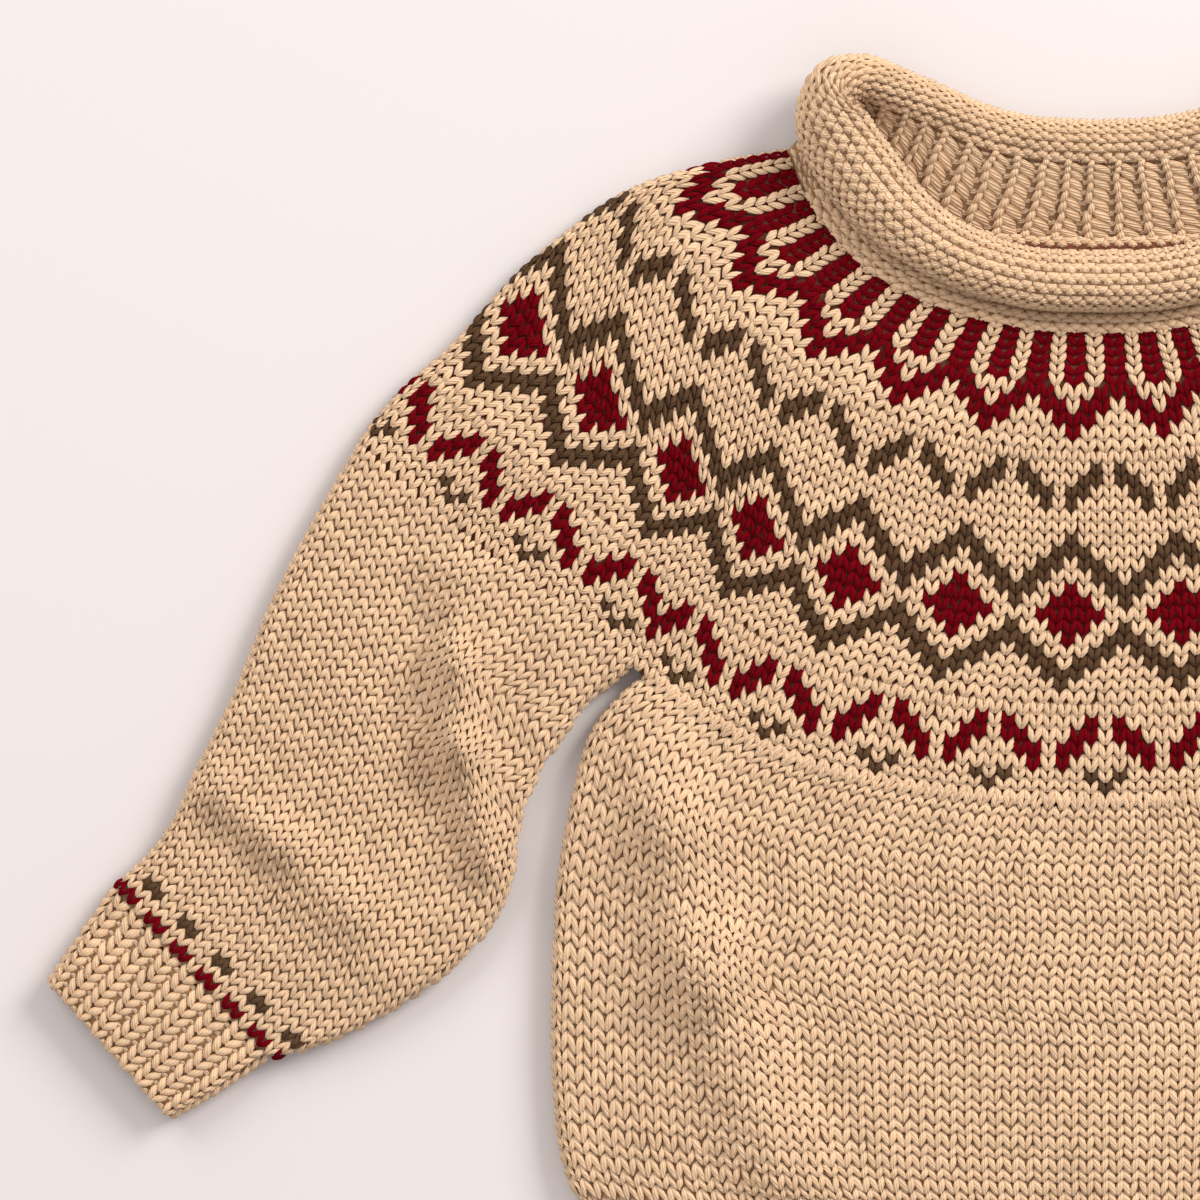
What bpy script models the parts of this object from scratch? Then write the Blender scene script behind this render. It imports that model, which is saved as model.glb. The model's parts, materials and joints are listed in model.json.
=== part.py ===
"""Child's round-yoke sweater in stranded knitting, laid flat and face up.

Laid cloth is two walls deep: the front lies on the back, joined at rounded side folds.
X runs across the sweater, Y from hem to neck, Z up from the surface it lies on.
The tables hold millimetres for the half at negative X; the other half is its mirror image,
apart from its own folds. "left" in a name is the negative X side.
"""
import bmesh
import bpy
import numpy as np

MM = 0.001
ORIGIN = (0.0, 0.96, 0.0)   # the middle of the sweater's base, in the tables' millimetres

# ---- cloth -------------------------------------------------------------------------------
WALL = 3.3            # one layer of thick cotton knitting
FOLD_HEIGHT = 8.4     # both layers at a side fold
PUFF = 2.0            # how much higher the front lies away from the folds
PUFF_REACH = 24.0     # over this distance
SEAM = 0.5            # half the gap left between two pieces
RIB_DEPTH = 1.1       # height of a rib over the furrow beside it
BAND_WALL = 3.0       # neck rib and rolled edge

CUFF_RIBS = 20
HEM_RIBS = 72
NECK_RIBS_FRONT = 30
NECK_RIBS_BACK = 26
RIB_LEAN = 1.3        # crowds the feet of the back's ribs towards the fold

# ---- outlines, one row a point: x, y --------------------------------------------------------
SHOULDER = [  # fold over the shoulder and down the sleeve's outer side, neck to cuff
    (-93.6, 166.2), (-106.5, 164.1), (-120.0, 161.1), (-133.5, 157.2), (-144.0, 152.6),
    (-153.0, 146.8), (-162.0, 139.8), (-174.0, 130.0), (-184.5, 118.6), (-196.0, 106.0),
    (-209.5, 94.2), (-219.0, 83.4), (-228.0, 69.0), (-240.0, 48.0), (-250.5, 27.0),
    (-259.8, 4.0), (-268.0, -13.0), (-273.6, -24.0), (-278.0, -34.5), (-283.8, -43.5),
    (-291.0, -50.6), (-297.6, -56.6),
]
UNDER_SLEEVE = [  # fold down the sleeve's inner side, underarm to cuff
    (-138.9, 9.5), (-144.8, 5.2), (-152.4, -1.2), (-157.9, -8.0), (-163.0, -15.6),
    (-170.6, -29.0), (-174.0, -42.0), (-175.0, -51.0), (-177.2, -59.0), (-183.6, -70.5),
    (-195.0, -82.3), (-210.0, -92.8), (-225.0, -101.0), (-239.0, -106.0), (-249.6, -109.0),
]
SIDE = [  # fold down the body's side, underarm to hem rib
    (-137.1, 7.6), (-143.6, 2.4), (-149.6, -4.2), (-154.0, -11.6), (-157.5, -24.0),
    (-160.8, -39.0), (-163.3, -55.0), (-164.4, -75.0), (-165.0, -96.0), (-164.4, -117.0),
    (-162.6, -135.0), (-160.0, -144.6), (-156.6, -151.6), (-154.6, -155.0),
]
YOKE_FOOT_FRONT = [  # lowest round of the yoke on the front, shoulder fold to middle
    (-223.6, 76.2), (-210.0, 64.2), (-198.0, 53.8), (-175.5, 36.8), (-153.0, 20.2),
    (-138.0, 8.6), (-126.0, -0.6), (-102.0, -15.0), (-66.0, -25.5), (-33.0, -30.0), (0.0, -31.5),
]
YOKE_FOOT_BACK = [
    (-223.6, 76.2), (-210.0, 64.2), (-198.0, 53.8), (-175.5, 36.8), (-153.0, 20.2),
    (-138.0, 8.6), (-126.0, 1.0), (-102.0, -9.6), (-66.0, -16.2), (-33.0, -18.6), (0.0, -19.2),
]
NECK_FRONT = [  # seam between yoke and neck rib on the front
    (-93.6, 166.2), (-88.8, 153.4), (-80.8, 140.9), (-72.0, 131.4), (-60.0, 123.2),
    (-48.3, 118.2), (-36.0, 114.6), (-18.6, 111.4), (0.0, 110.4),
]
NECK_BACK = [
    (-93.6, 166.2), (-86.5, 159.6), (-75.6, 152.6), (-60.0, 146.0), (-42.0, 141.2),
    (-21.0, 138.6), (0.0, 138.0),
]
CUFF = [  # sections of the cuff: outer fold x, y, inner fold x, y
    (-297.9, -57.0, -250.2, -109.2),
    (-307.4, -70.8, -264.4, -118.6),
    (-316.6, -84.2, -278.6, -126.4),
]
HEM = [  # sections of the hem rib: x of its side fold, y there, how far its middle hangs lower
    (-154.4, -155.4, 5.6),
    (-152.4, -188.4, 5.1),
]

# ---- folds of the laid cloth: x0, y0, x1, y1, height over the rest, width ---------------------
CREASES = [
    # the body, its negative X side
    (-128, -38, -116, -88, 2.6, 11), (-116, -88, -94, -138, 2.9, 11),
    (-119, -24, -103, -88, -1.3, 8), (-103, -88, -86, -134, -1.1, 9),
    (-26, -58, -4, -128, 1.3, 17), (-60, -70, -52, -120, -0.8, 14),
    # the body, its positive X side
    (120, -34, 130, -86, 2.4, 12), (130, -86, 112, -136, 2.3, 13),
    (108, -40, 104, -104, -1.1, 10), (52, -52, 66, -124, 1.2, 16),
    # the sleeve at negative X
    (-195, 30, -193, -16, -1.3, 7), (-193, -16, -175, -58, -1.4, 7),
    (-206, 36, -207, -24, 1.4, 10), (-180, 10, -182, -28, 1.1, 9),
    (-262, -10, -240, -30, 2.3, 11), (-240, -30, -229, -54, 1.9, 12),
    (-272, -26, -250, -43, -1.3, 6), (-250, -43, -243, -58, -1.2, 7),
    (-214, -58, -222, -84, 1.6, 11),
    # the sleeve at positive X
    (199, 26, 196, -22, -1.2, 8), (196, -22, 180, -56, -1.1, 8),
    (212, 30, 214, -20, 1.5, 11), (258, -14, 238, -34, 2.0, 12),
    (268, -28, 248, -46, -1.2, 7), (216, -62, 226, -86, 1.4, 12),
    # the yoke
    (-150, 96, -186, 60, 1.2, 16), (152, 100, 184, 56, 1.1, 17), (-92, 44, -84, 4, 0.9, 18),
]

# ---- rolled neck edge, front middle to back middle: one row a section --------------------------
#   centre x, y, z, turn of its outward side (0 up, 90 sideways, 180 down),
#   half width along the cloth, half depth, where its cloth starts and ends round the curl
ROLL = [
    (0.0, 125.1, 13.0, 0, 9.9, 7.6, -90, 204),
    (-18.0, 125.8, 13.0, 0, 9.9, 7.6, -90, 204),
    (-34.5, 129.6, 13.1, 2, 9.9, 7.6, -90, 203),
    (-49.5, 135.9, 13.4, 5, 10.0, 7.7, -90, 200),
    (-62.1, 144.0, 14.0, 10, 10.1, 7.8, -90, 196),
    (-72.6, 154.2, 15.2, 18, 10.1, 8.0, -91, 191),
    (-80.4, 165.0, 16.6, 31, 9.7, 8.3, -94, 187),
    (-84.0, 176.4, 17.4, 52, 9.2, 8.4, -99, 185),
    (-80.6, 185.4, 16.4, 84, 8.6, 8.0, -106, 186),
    (-71.6, 188.4, 13.8, 116, 8.0, 7.4, -114, 189),
    (-61.2, 184.4, 11.2, 138, 7.5, 7.0, -122, 192),
    (-50.4, 178.8, 9.2, 150, 7.2, 6.7, -129, 194),
    (-37.5, 173.0, 8.0, 157, 7.2, 6.6, -134, 194),
    (-23.7, 169.2, 7.5, 160, 7.2, 6.6, -136, 194),
    (0.0, 167.4, 7.3, 161, 7.2, 6.6, -136, 194),
]
NECK_FOLD_ROW = 7     # the row of ROLL over the fold between front and back
ROLL_FRONT = 15       # sections from front middle to fold
ROLL_BACK = 13
ROLL_STEPS = 10

# ---- how finely the walls are made ------------------------------------------------------------
FRONT_POINTS = {"yoke": 34, "body": 28, "sleeve": 15}
YOKE_ROUNDS = [0.0, 0.14, 0.29, 0.44, 0.59, 0.73, 0.87, 1.0]
BODY_ROUNDS = [0.0, 0.10, 0.24, 0.40, 0.56, 0.72, 0.87, 1.0]
SLEEVE_ROUNDS = [0.0, 0.11, 0.23, 0.35, 0.47, 0.58, 0.69, 0.8, 0.91, 0.994]

COLOURS = {"yoke": (0.42, 0.13, 0.10, 1), "body": (0.76, 0.52, 0.33, 1), "rib": (0.72, 0.49, 0.30, 1)}


# ---- lines ------------------------------------------------------------------------------------
def smooth(points, count=160):
    """A smooth line through the points, as evenly spaced places along it."""
    p = np.asarray(points, float)
    if len(p) < 3:
        s = np.linspace(0, 1, count)[:, None]
        return p[0] * (1 - s) + p[-1] * s
    at = np.concatenate([[0], np.cumsum(np.linalg.norm(np.diff(p[:, :2], axis=0), axis=1))])
    slope = np.gradient(p, at, axis=0)
    s = np.linspace(0, at[-1], count * 3)
    k = np.clip(np.searchsorted(at, s, side="right") - 1, 0, len(p) - 2)
    h = (at[k + 1] - at[k])[:, None]
    f = ((s - at[k]) / h[:, 0])[:, None]
    line = (
        (2 * f**3 - 3 * f**2 + 1) * p[k] + (f**3 - 2 * f**2 + f) * h * slope[k]
        + (3 * f**2 - 2 * f**3) * p[k + 1] + (f**3 - f**2) * h * slope[k + 1]
    )
    return spread(line, np.linspace(0, 1, count))


def spread(line, places):
    """Points of a line at these fractions of its length."""
    gone = np.concatenate([[0], np.cumsum(np.linalg.norm(np.diff(line[:, :3], axis=0), axis=1))])
    at = np.asarray(places) * gone[-1]
    return np.stack([np.interp(at, gone, line[:, c]) for c in range(line.shape[1])], axis=1)


def mirrored(line):
    return np.asarray(line) * np.array([-1, 1])


def whole(half, count=320):
    """A line from fold to fold, from its half that ends in the middle."""
    left = smooth(half)
    return spread(np.concatenate([left, mirrored(left)[::-1][1:]]), np.linspace(0, 1, count))


# ---- height of the laid front -----------------------------------------------------------------
def distance(xy, a, b):
    run = b - a
    f = np.clip(((xy - a) @ run) / (run @ run), 0, 1)
    return np.linalg.norm(xy - a - f[..., None] * run, axis=-1), f


def fold_lines():
    for table in (SHOULDER, UNDER_SLEEVE, SIDE):
        for line in (np.array(table), mirrored(table)):
            yield from zip(line[:-1], line[1:])


def top_height(xy):
    """Height of the front's outer face over the surface the sweater lies on."""
    xy = np.asarray(xy, float)
    near = np.full(xy.shape[:-1], 1e9)
    for a, b in fold_lines():
        near = np.minimum(near, distance(xy, a, b)[0])
    inside = 1 - np.exp(-((near / PUFF_REACH) ** 2))
    height = FOLD_HEIGHT + PUFF * inside
    for x0, y0, x1, y1, rise, width in CREASES:
        away, _ = distance(xy, np.array([x0, y0], float), np.array([x1, y1], float))
        height = height + rise * np.exp(-((away / width) ** 2)) * np.minimum(1, near / 9)
    lowest = FOLD_HEIGHT - 0.5
    return lowest + np.logaddexp(0, (height - lowest) * 4) / 4


# ---- flat rings -------------------------------------------------------------------------------
def flat_ring(front, back, points, turns=(45,)):
    """Outer points round a flattened tube: front left to right, back right to left."""
    turn = np.radians(np.array(turns, float))
    radius = FOLD_HEIGHT / 2
    length_f = np.linalg.norm(np.diff(front, axis=0), axis=1).sum()
    length_b = np.linalg.norm(np.diff(back, axis=0), axis=1).sum()
    edge = radius * (1 - np.cos(turn))
    top = np.concatenate([[0], edge, np.linspace(radius, length_f - radius, points),
                          length_f - edge[::-1], [length_f]])
    sines = np.concatenate([[0], np.sin(turn), np.ones(points), np.sin(turn)[::-1], [0]])
    low = np.concatenate([edge, np.linspace(radius, length_b - radius, points),
                          length_b - edge[::-1]])[::-1]
    low_sines = -sines[1:-1]
    plan_f = spread(front, top / length_f)
    plan_b = spread(back, low / length_b)
    z_f = top_height(plan_f) / 2 * (1 + sines)
    z_b = np.full(len(plan_b), FOLD_HEIGHT / 2) * (1 + low_sines)
    z_f[0] = z_f[-1] = FOLD_HEIGHT / 2
    return np.concatenate([np.column_stack([plan_f, z_f]), np.column_stack([plan_b, z_b])])


def even_ring(ring, count):
    """The same ring as evenly spaced points, from its first point."""
    closed = np.concatenate([ring, ring[:1]])
    return spread(closed, np.arange(count) / count)


def outward(grid, down=None):
    """Outward directions at the points of a grid of rings, neck or cuff side first."""
    across = np.roll(grid, -1, axis=1) - np.roll(grid, 1, axis=1)
    if down is None:
        down = np.gradient(grid, axis=0)
    normal = np.cross(down, across)
    return normal / np.linalg.norm(normal, axis=2, keepdims=True)


# ---- solids -----------------------------------------------------------------------------------
def wall(name, outer, inner, colour):
    """A closed wall between two grids of rings, as one object."""
    rings, count = outer.shape[:2]
    made = bmesh.new()
    faces = [[[made.verts.new((p - ORIGIN) * MM) for p in ring] for ring in grid] for grid in (outer, inner)]
    for j in range(count):
        k = (j + 1) % count
        for i in range(rings - 1):
            made.faces.new([faces[0][i][j], faces[0][i + 1][j], faces[0][i + 1][k], faces[0][i][k]])
            made.faces.new([faces[1][i][j], faces[1][i][k], faces[1][i + 1][k], faces[1][i + 1][j]])
        made.faces.new([faces[0][0][j], faces[0][0][k], faces[1][0][k], faces[1][0][j]])
        made.faces.new([faces[0][-1][j], faces[1][-1][j], faces[1][-1][k], faces[0][-1][k]])
    bmesh.ops.recalc_face_normals(made, faces=made.faces)
    mesh = bpy.data.meshes.new(name)
    made.to_mesh(mesh)
    made.free()
    solid = bpy.data.objects.new(name, mesh)
    material = bpy.data.materials.new(name)
    material.use_nodes = True
    shader = material.node_tree.nodes["Principled BSDF"]
    shader.inputs["Base Color"].default_value = colour
    shader.inputs["Roughness"].default_value = 0.9
    mesh.materials.append(material)
    garment.objects.link(solid)
    return solid


def ribbed(grid, ribs):
    """The grid with every second point sunk into a furrow."""
    sunk = np.arange(grid.shape[1]) % 2 == 1
    return grid - outward(grid) * (RIB_DEPTH * sunk)[None, :, None]


# ---- the pieces' rings ------------------------------------------------------------------------
def yoke_plan(neck, foot, v):
    """A round of the yoke in plan: v is 0 at the neck and 1 at the foot."""
    t = np.linspace(0, 1, len(neck))[:, None]
    left = fold_between(SHOULDER, 0, YOKE_FOOT_FRONT[0], v)
    straight = (1 - v) * neck + v * foot
    right = left * np.array([-1, 1])
    return straight + (1 - t) ** 3 * (left - straight[0]) + t**3 * (right - straight[-1])


def fold_between(table, start, end, f):
    """A place on a fold line between its point number start and the place nearest to end."""
    line = smooth(table, 400)
    gone = np.linspace(0, 1, 400)
    first = gone[np.argmin(np.linalg.norm(line - np.array(table[start]), axis=1))]
    last = gone[np.argmin(np.linalg.norm(line - np.array(end), axis=1))] if end else 1.0
    return spread(line, [first + (last - first) * f])[0]


def yoke_ring(v):
    front = yoke_plan(whole(NECK_FRONT), whole(YOKE_FOOT_FRONT), v)
    back = yoke_plan(whole(NECK_BACK), whole(YOKE_FOOT_BACK), v)
    return flat_ring(front, back, FRONT_POINTS["yoke"])


def cut(table, first, last):
    line = whole(table)
    keep = (line[:, 0] > first) & (line[:, 0] < last)
    return line[keep]


def body_ring(f):
    """A round of the body: f is 0 at the yoke and 1 at the hem rib."""
    side = spread(smooth(SIDE, 400), [f])[0]
    sides = []
    for table in (YOKE_FOOT_FRONT, YOKE_FOOT_BACK):
        top = cut(table, SIDE[0][0], -SIDE[0][0])
        x = np.linspace(-1, 1, 161)
        hang = np.interp(x * 137, top[:, 0], top[:, 1]) - 7.6 - SEAM * 2
        low = -HEM[0][2] * (1 - x**2)
        y = side[1] + hang * (1 - f) ** 1.15 + low * f
        y[0] = y[-1] = side[1]
        sides.append(np.column_stack([x * -side[0], y]))
    return flat_ring(sides[0], sides[1], FRONT_POINTS["body"])


def sleeve_ring(f, hand):
    """A round of a sleeve: f is 0 at the yoke and 1 at the cuff; hand is 1 at negative X."""
    last = smooth(SHOULDER, 400)
    start = np.argmin(np.linalg.norm(last - np.array(YOKE_FOOT_FRONT[0]), axis=1))
    outer = spread(last[start:], [f])[0]
    inner = spread(smooth(UNDER_SLEEVE, 400), [f])[0]
    s = np.linspace(0, 1, 121)[:, None]
    straight = outer * (1 - s) + inner * s
    foot = whole(YOKE_FOOT_FRONT)
    part = foot[foot[:, 0] < UNDER_SLEEVE[0][0]]
    part = spread(np.concatenate([part[:1], part, [UNDER_SLEEVE[0]]]), s[:, 0])
    chord = part[0] * (1 - s) + part[-1] * s
    line = straight + (part - chord) * (1 - f)
    if f == 0:
        away = np.array([-0.61, -0.79])
        line = line + away * SEAM * 1.6
    if hand == 1:
        return flat_ring(line, line, FRONT_POINTS["sleeve"])
    line = mirrored(line)[::-1]
    return flat_ring(line, line, FRONT_POINTS["sleeve"])


def cuff_ring(row, hand):
    outer = np.array(row[:2])
    inner = np.array(row[2:])
    s = np.linspace(0, 1, 60)[:, None]
    line = outer * (1 - s) + inner * s
    if hand == -1:
        line = mirrored(line)[::-1]
    return flat_ring(line, line, 24, turns=(15, 30, 45, 60, 75))


def hem_ring(row):
    x = np.linspace(-1, 1, 161)
    line = np.column_stack([x * -row[0], row[1] - row[2] * (1 - x**2)])
    return flat_ring(line, line, 80, turns=(15, 30, 45, 60, 75))


def roll_rows(front, back):
    """Sections of the rolled edge round the neck from the front middle by negative X."""
    half = smooth(ROLL, 400)
    fold = np.argmin(np.linalg.norm(half[:, :3] - np.array(ROLL[NECK_FOLD_ROW][:3]), axis=1))
    on_front = spread(half[:fold + 1], np.linspace(0, 1, front + 1))
    on_back = spread(half[fold:], np.linspace(0, 1, back + 1))[1:]
    half = np.concatenate([on_front, on_back])
    other = half[::-1][1:-1] * np.array([-1, 1, 1, 1, 1, 1, 1, 1])
    return np.concatenate([half, other])


def neck_root(front, back):
    """Points of the yoke's inner face at the neck, in the same steps as roll_rows."""
    fine = np.array([yoke_ring(v) for v in (0.0, 0.01)])
    inner = (fine - outward(fine) * WALL)[0]
    corner = 0
    middle_front = np.argmin(np.where(inner[:, 2] > WALL + 0.6, np.abs(inner[:, 0]), 1e9))
    middle_back = np.argmin(np.where(inner[:, 2] < WALL + 0.6, np.abs(inner[:, 0]), 1e9))
    on_front = inner[corner:middle_front + 1][::-1].copy()
    on_back = np.concatenate([inner[middle_back:], inner[:1]])[::-1].copy()
    on_front[0, 0] = 0.0
    on_back[-1, 0] = 0.0
    half = np.concatenate([
        spread(on_front, np.linspace(0, 1, front + 1)),
        spread(on_back, np.linspace(0, 1, back + 1) ** RIB_LEAN)[1:],
    ])
    other = half[::-1][1:-1] * np.array([-1, 1, 1])
    return np.concatenate([half, other])


def curl(rows, degrees):
    """Points of the curled cloth's outer face, one degree value a section."""
    centre = rows[:, :3]
    heading = np.roll(centre, -1, axis=0) - np.roll(centre, 1, axis=0)
    heading[:, 2] = 0
    heading /= np.linalg.norm(heading, axis=1, keepdims=True)
    up = np.array([0.0, 0.0, 1.0])
    aside = np.cross(up, heading)
    turn = np.radians(rows[:, 3])[:, None]
    out = np.cos(turn) * up + np.sin(turn) * aside
    along = np.cross(heading, out)
    a = np.radians(degrees)
    straight = np.maximum(0, -90 - degrees) / 57.3
    a = np.maximum(a, np.radians(-90))
    shrink = 1 - 0.16 * np.clip((degrees - 150) / 60, 0, 1)
    b = (np.cos(a) * shrink - straight) * rows[:, 4]
    o = np.sin(a) * shrink * rows[:, 5]
    return centre + along * b[:, None] + out * o[:, None]


# ---- build ------------------------------------------------------------------------------------
for old in list(bpy.data.objects):
    bpy.data.objects.remove(old)
garment = bpy.data.collections.new("sweater")
bpy.context.scene.collection.children.link(garment)

# yoke: seam gaps are taken off its first and last rounds
rounds = [0.010] + YOKE_ROUNDS[1:-1] + [0.997]
yoke = np.array([yoke_ring(v) for v in rounds])
wall("yoke", yoke, yoke - outward(yoke) * WALL, COLOURS["yoke"])

body = np.array([body_ring(f) for f in BODY_ROUNDS])
wall("body", body, body - outward(body) * WALL, COLOURS["body"])

hem = np.array([even_ring(hem_ring(row), HEM_RIBS * 2) for row in HEM])
wall("hem_rib", ribbed(hem, HEM_RIBS), hem - outward(hem) * WALL, COLOURS["rib"])

for hand, side in ((1, "left"), (-1, "right")):
    sleeve = np.array([sleeve_ring(f, hand) for f in SLEEVE_ROUNDS])
    wall("sleeve_" + side, sleeve, sleeve - outward(sleeve) * WALL, COLOURS["body"])
    cuff = np.array([even_ring(cuff_ring(row, hand), CUFF_RIBS * 2) for row in CUFF])
    wall("cuff_" + side, ribbed(cuff, CUFF_RIBS), cuff - outward(cuff) * WALL, COLOURS["rib"])

# rolled edge: cloth that leaves the neck rib, turns outwards and comes back over it
rows = roll_rows(ROLL_FRONT, ROLL_BACK)
steps = np.linspace(0, 1, ROLL_STEPS)
angles = [rows[:, 6] + (rows[:, 7] - rows[:, 6]) * s for s in steps]
roll = np.array([curl(rows, a) for a in angles])
turning = np.array([curl(rows, a + 1.5) - curl(rows, a - 1.5) for a in angles])
roll_in = -outward(roll, turning)
if np.sum((roll[5] + roll_in[5] - rows[:, :3]) ** 2) > np.sum((roll[5] - rows[:, :3]) ** 2):
    roll_in = -roll_in
wall("neck_roll", roll, roll + roll_in * BAND_WALL, COLOURS["rib"])

# neck rib: from the yoke's inner face to the start of the rolled edge
root = neck_root(NECK_RIBS_FRONT, NECK_RIBS_BACK)
rows = roll_rows(NECK_RIBS_FRONT, NECK_RIBS_BACK)
top = curl(rows, rows[:, 6] - 6)
lead = curl(rows, rows[:, 6] - 4) - curl(rows, rows[:, 6] - 8)
reach = np.linalg.norm(top - root, axis=1, keepdims=True)
lead = lead / np.linalg.norm(lead, axis=1, keepdims=True) * reach * 0.6
leave = top - root
leave[:, 2] *= 0.35
leave = leave / np.linalg.norm(leave, axis=1, keepdims=True) * reach * 0.6
band = []
rising = []
for f in (0.0, 0.5, 1.0):
    band.append(
        (2 * f**3 - 3 * f**2 + 1) * root + (f**3 - 2 * f**2 + f) * leave
        + (3 * f**2 - 2 * f**3) * top + (f**3 - f**2) * lead
    )
    rising.append(
        (6 * f**2 - 6 * f) * (root - top) + (3 * f**2 - 4 * f + 1) * leave + (3 * f**2 - 2 * f) * lead
    )
band = np.array(band)
face = outward(band, np.array(rising))
if face[1, 0, 2] < 0:
    face = -face
sunk = np.arange(band.shape[1]) % 2 == 1
wall("neck_rib", band + face * BAND_WALL, band + face * (RIB_DEPTH * sunk)[None, :, None], COLOURS["rib"])
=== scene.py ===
# %% [markdown]
# # A child's round-yoke sweater, knitted stitch by stitch
# The real sweater is chunky cotton, knitted in the round: a plain body and sleeves join under a
# patterned yoke, and the neck ends in an edge that rolls outwards. It lies flat, face up.
# The CAD part gives its outline. What is missing is the knitting, so this notebook makes one
# stitch of each kind with a few faces, copies it thousands of times and lays the copies on a
# folded surface.

# %% Load the frame
import json
import bmesh
import bpy
import numpy as np
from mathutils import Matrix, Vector

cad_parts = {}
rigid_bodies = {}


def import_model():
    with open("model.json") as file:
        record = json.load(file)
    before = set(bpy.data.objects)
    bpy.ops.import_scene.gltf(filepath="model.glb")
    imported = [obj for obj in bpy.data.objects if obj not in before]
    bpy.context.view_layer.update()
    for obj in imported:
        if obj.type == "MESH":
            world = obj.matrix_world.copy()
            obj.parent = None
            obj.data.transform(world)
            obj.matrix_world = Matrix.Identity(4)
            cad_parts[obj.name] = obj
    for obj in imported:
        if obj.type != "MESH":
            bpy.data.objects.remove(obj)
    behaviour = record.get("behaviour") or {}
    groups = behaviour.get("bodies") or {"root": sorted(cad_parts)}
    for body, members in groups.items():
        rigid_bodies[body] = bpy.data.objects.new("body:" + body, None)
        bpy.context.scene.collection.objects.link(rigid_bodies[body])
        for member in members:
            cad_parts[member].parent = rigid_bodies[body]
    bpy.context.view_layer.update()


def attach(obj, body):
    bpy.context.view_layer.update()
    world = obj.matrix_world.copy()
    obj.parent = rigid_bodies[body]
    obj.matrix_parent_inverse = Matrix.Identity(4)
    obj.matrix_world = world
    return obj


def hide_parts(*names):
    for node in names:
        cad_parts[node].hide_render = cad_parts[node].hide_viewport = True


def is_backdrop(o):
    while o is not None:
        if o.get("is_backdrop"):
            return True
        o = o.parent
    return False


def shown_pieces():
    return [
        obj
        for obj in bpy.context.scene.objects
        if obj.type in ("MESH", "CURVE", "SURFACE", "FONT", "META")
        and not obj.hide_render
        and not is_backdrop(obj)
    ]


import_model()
MM = 0.001
chance = np.random.default_rng(28)  # a fixed seed, so that every run gives the same sweater

# %% [markdown]
# ## Camera, floor and light
# A catalogue picture of laid clothes is taken from straight above with a long lens, so nothing
# leans. The camera stands two metres over the cloth and sees a square of 36 cm. The light is one
# large soft source from the upper right, a weaker one from the upper left and a pale room.

# %% Camera
scene = bpy.context.scene


def add_object(name, data):
    made = bpy.data.objects.new(name, data)
    scene.collection.objects.link(made)
    return made


SEEN = 0.36  # side of the square in the picture, in metres
MIDDLE_OF_PICTURE = (-0.150, 0.02904)
HEIGHT = 2.0  # of the camera over the cloth
CLOTH_TOP = 0.010
SENSOR = 36  # width of the sensor, in mm
lens = bpy.data.cameras.new("camera")
lens.sensor_width = SENSOR
lens.lens = SENSOR * HEIGHT / SEEN
lens.clip_end = 20
camera = add_object("camera", lens)
camera.location = (*MIDDLE_OF_PICTURE, HEIGHT + CLOTH_TOP)
scene.camera = camera
scene.view_settings.view_transform = "Standard"
print("the camera sees", SEEN, "m across")

# %% Floor and light
FLOOR = (0.63, 0.587, 0.58, 1)
FLOOR_BELOW = 0.0002  # a hair under the sweater, in metres


def new_material(name, roughness, specular):
    """A material with the usual shader, and that shader."""
    material = bpy.data.materials.new(name)
    material.use_nodes = True
    shader = material.node_tree.nodes["Principled BSDF"]
    shader.inputs["Roughness"].default_value = roughness
    shader.inputs["Specular IOR Level"].default_value = specular
    return material, shader


def as_mesh(name, shape):
    mesh = bpy.data.meshes.new(name)
    shape.to_mesh(mesh)
    shape.free()
    return mesh


shape = bmesh.new()
bmesh.ops.create_grid(shape, x_segments=8, y_segments=8, size=3.0)
bmesh.ops.translate(shape, vec=(0, 0, -FLOOR_BELOW), verts=shape.verts)
mesh = as_mesh("floor", shape)
paper, shader = new_material("floor_paper", 0.9, 0.1)
shader.inputs["Base Color"].default_value = FLOOR
mesh.materials.append(paper)
floor = add_object("floor", mesh)
floor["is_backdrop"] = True

LIGHTS = [  # name, place in metres, side of the lamp, strength in watts, colour
    ("key", (1.75, 1.45, 1.45), 1.2, 80, (1.0, 0.985, 0.965)),
    ("fill", (-1.7, 1.9, 1.7), 1.6, 46, (1.0, 0.97, 0.95)),
]
for name, place, side, strength, colour in LIGHTS:
    data = bpy.data.lights.new(name, "AREA")
    data.energy, data.size, data.color = strength, side, colour
    lamp = add_object(name, data)
    lamp.location = place
    lamp.rotation_euler = (-Vector(place)).to_track_quat("-Z", "Y").to_euler()
room = bpy.data.worlds.new("room")
room.use_nodes = True
pale = room.node_tree.nodes["Background"].inputs
pale["Color"].default_value, pale["Strength"].default_value = (1.0, 0.965, 0.95, 1), 0.68
scene.world = room
print(len(LIGHTS), "lamps and a pale room")

# %% [markdown]
# ## The laid surface
# Laid knitting is a flattened tube: a front on a back, joined by round folds. Its outline is a
# few short tables of places in millimetres, for the half at negative X. They are the tables of
# the CAD part. Only the folds are stronger here and partly in other places, and the ends of the
# rolled edge are broader, to come closer to the photo.

# %% Outline tables
ORIGIN = (0.0, 0.96, 0.0)  # the middle of the sweater's base, in the tables' millimetres
FOLD_HEIGHT = 8.4  # both layers at a side fold
PUFF, PUFF_REACH = 2.0, 24.0  # how much higher the cloth lies away from its folds, and how soon
DIP, BLEND = 0.5, 4.0  # the front is at most DIP lower than its folds, rounded off by BLEND
CREASE_FADE = 9.0  # creases fade out this near to a fold
YOKE_WALL = 3.3  # from the yoke's outer face to its inner one
BAND_WALL = 3.0  # the same at the neck rib
SEAM = 0.5  # half the gap between two parts that are joined

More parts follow.
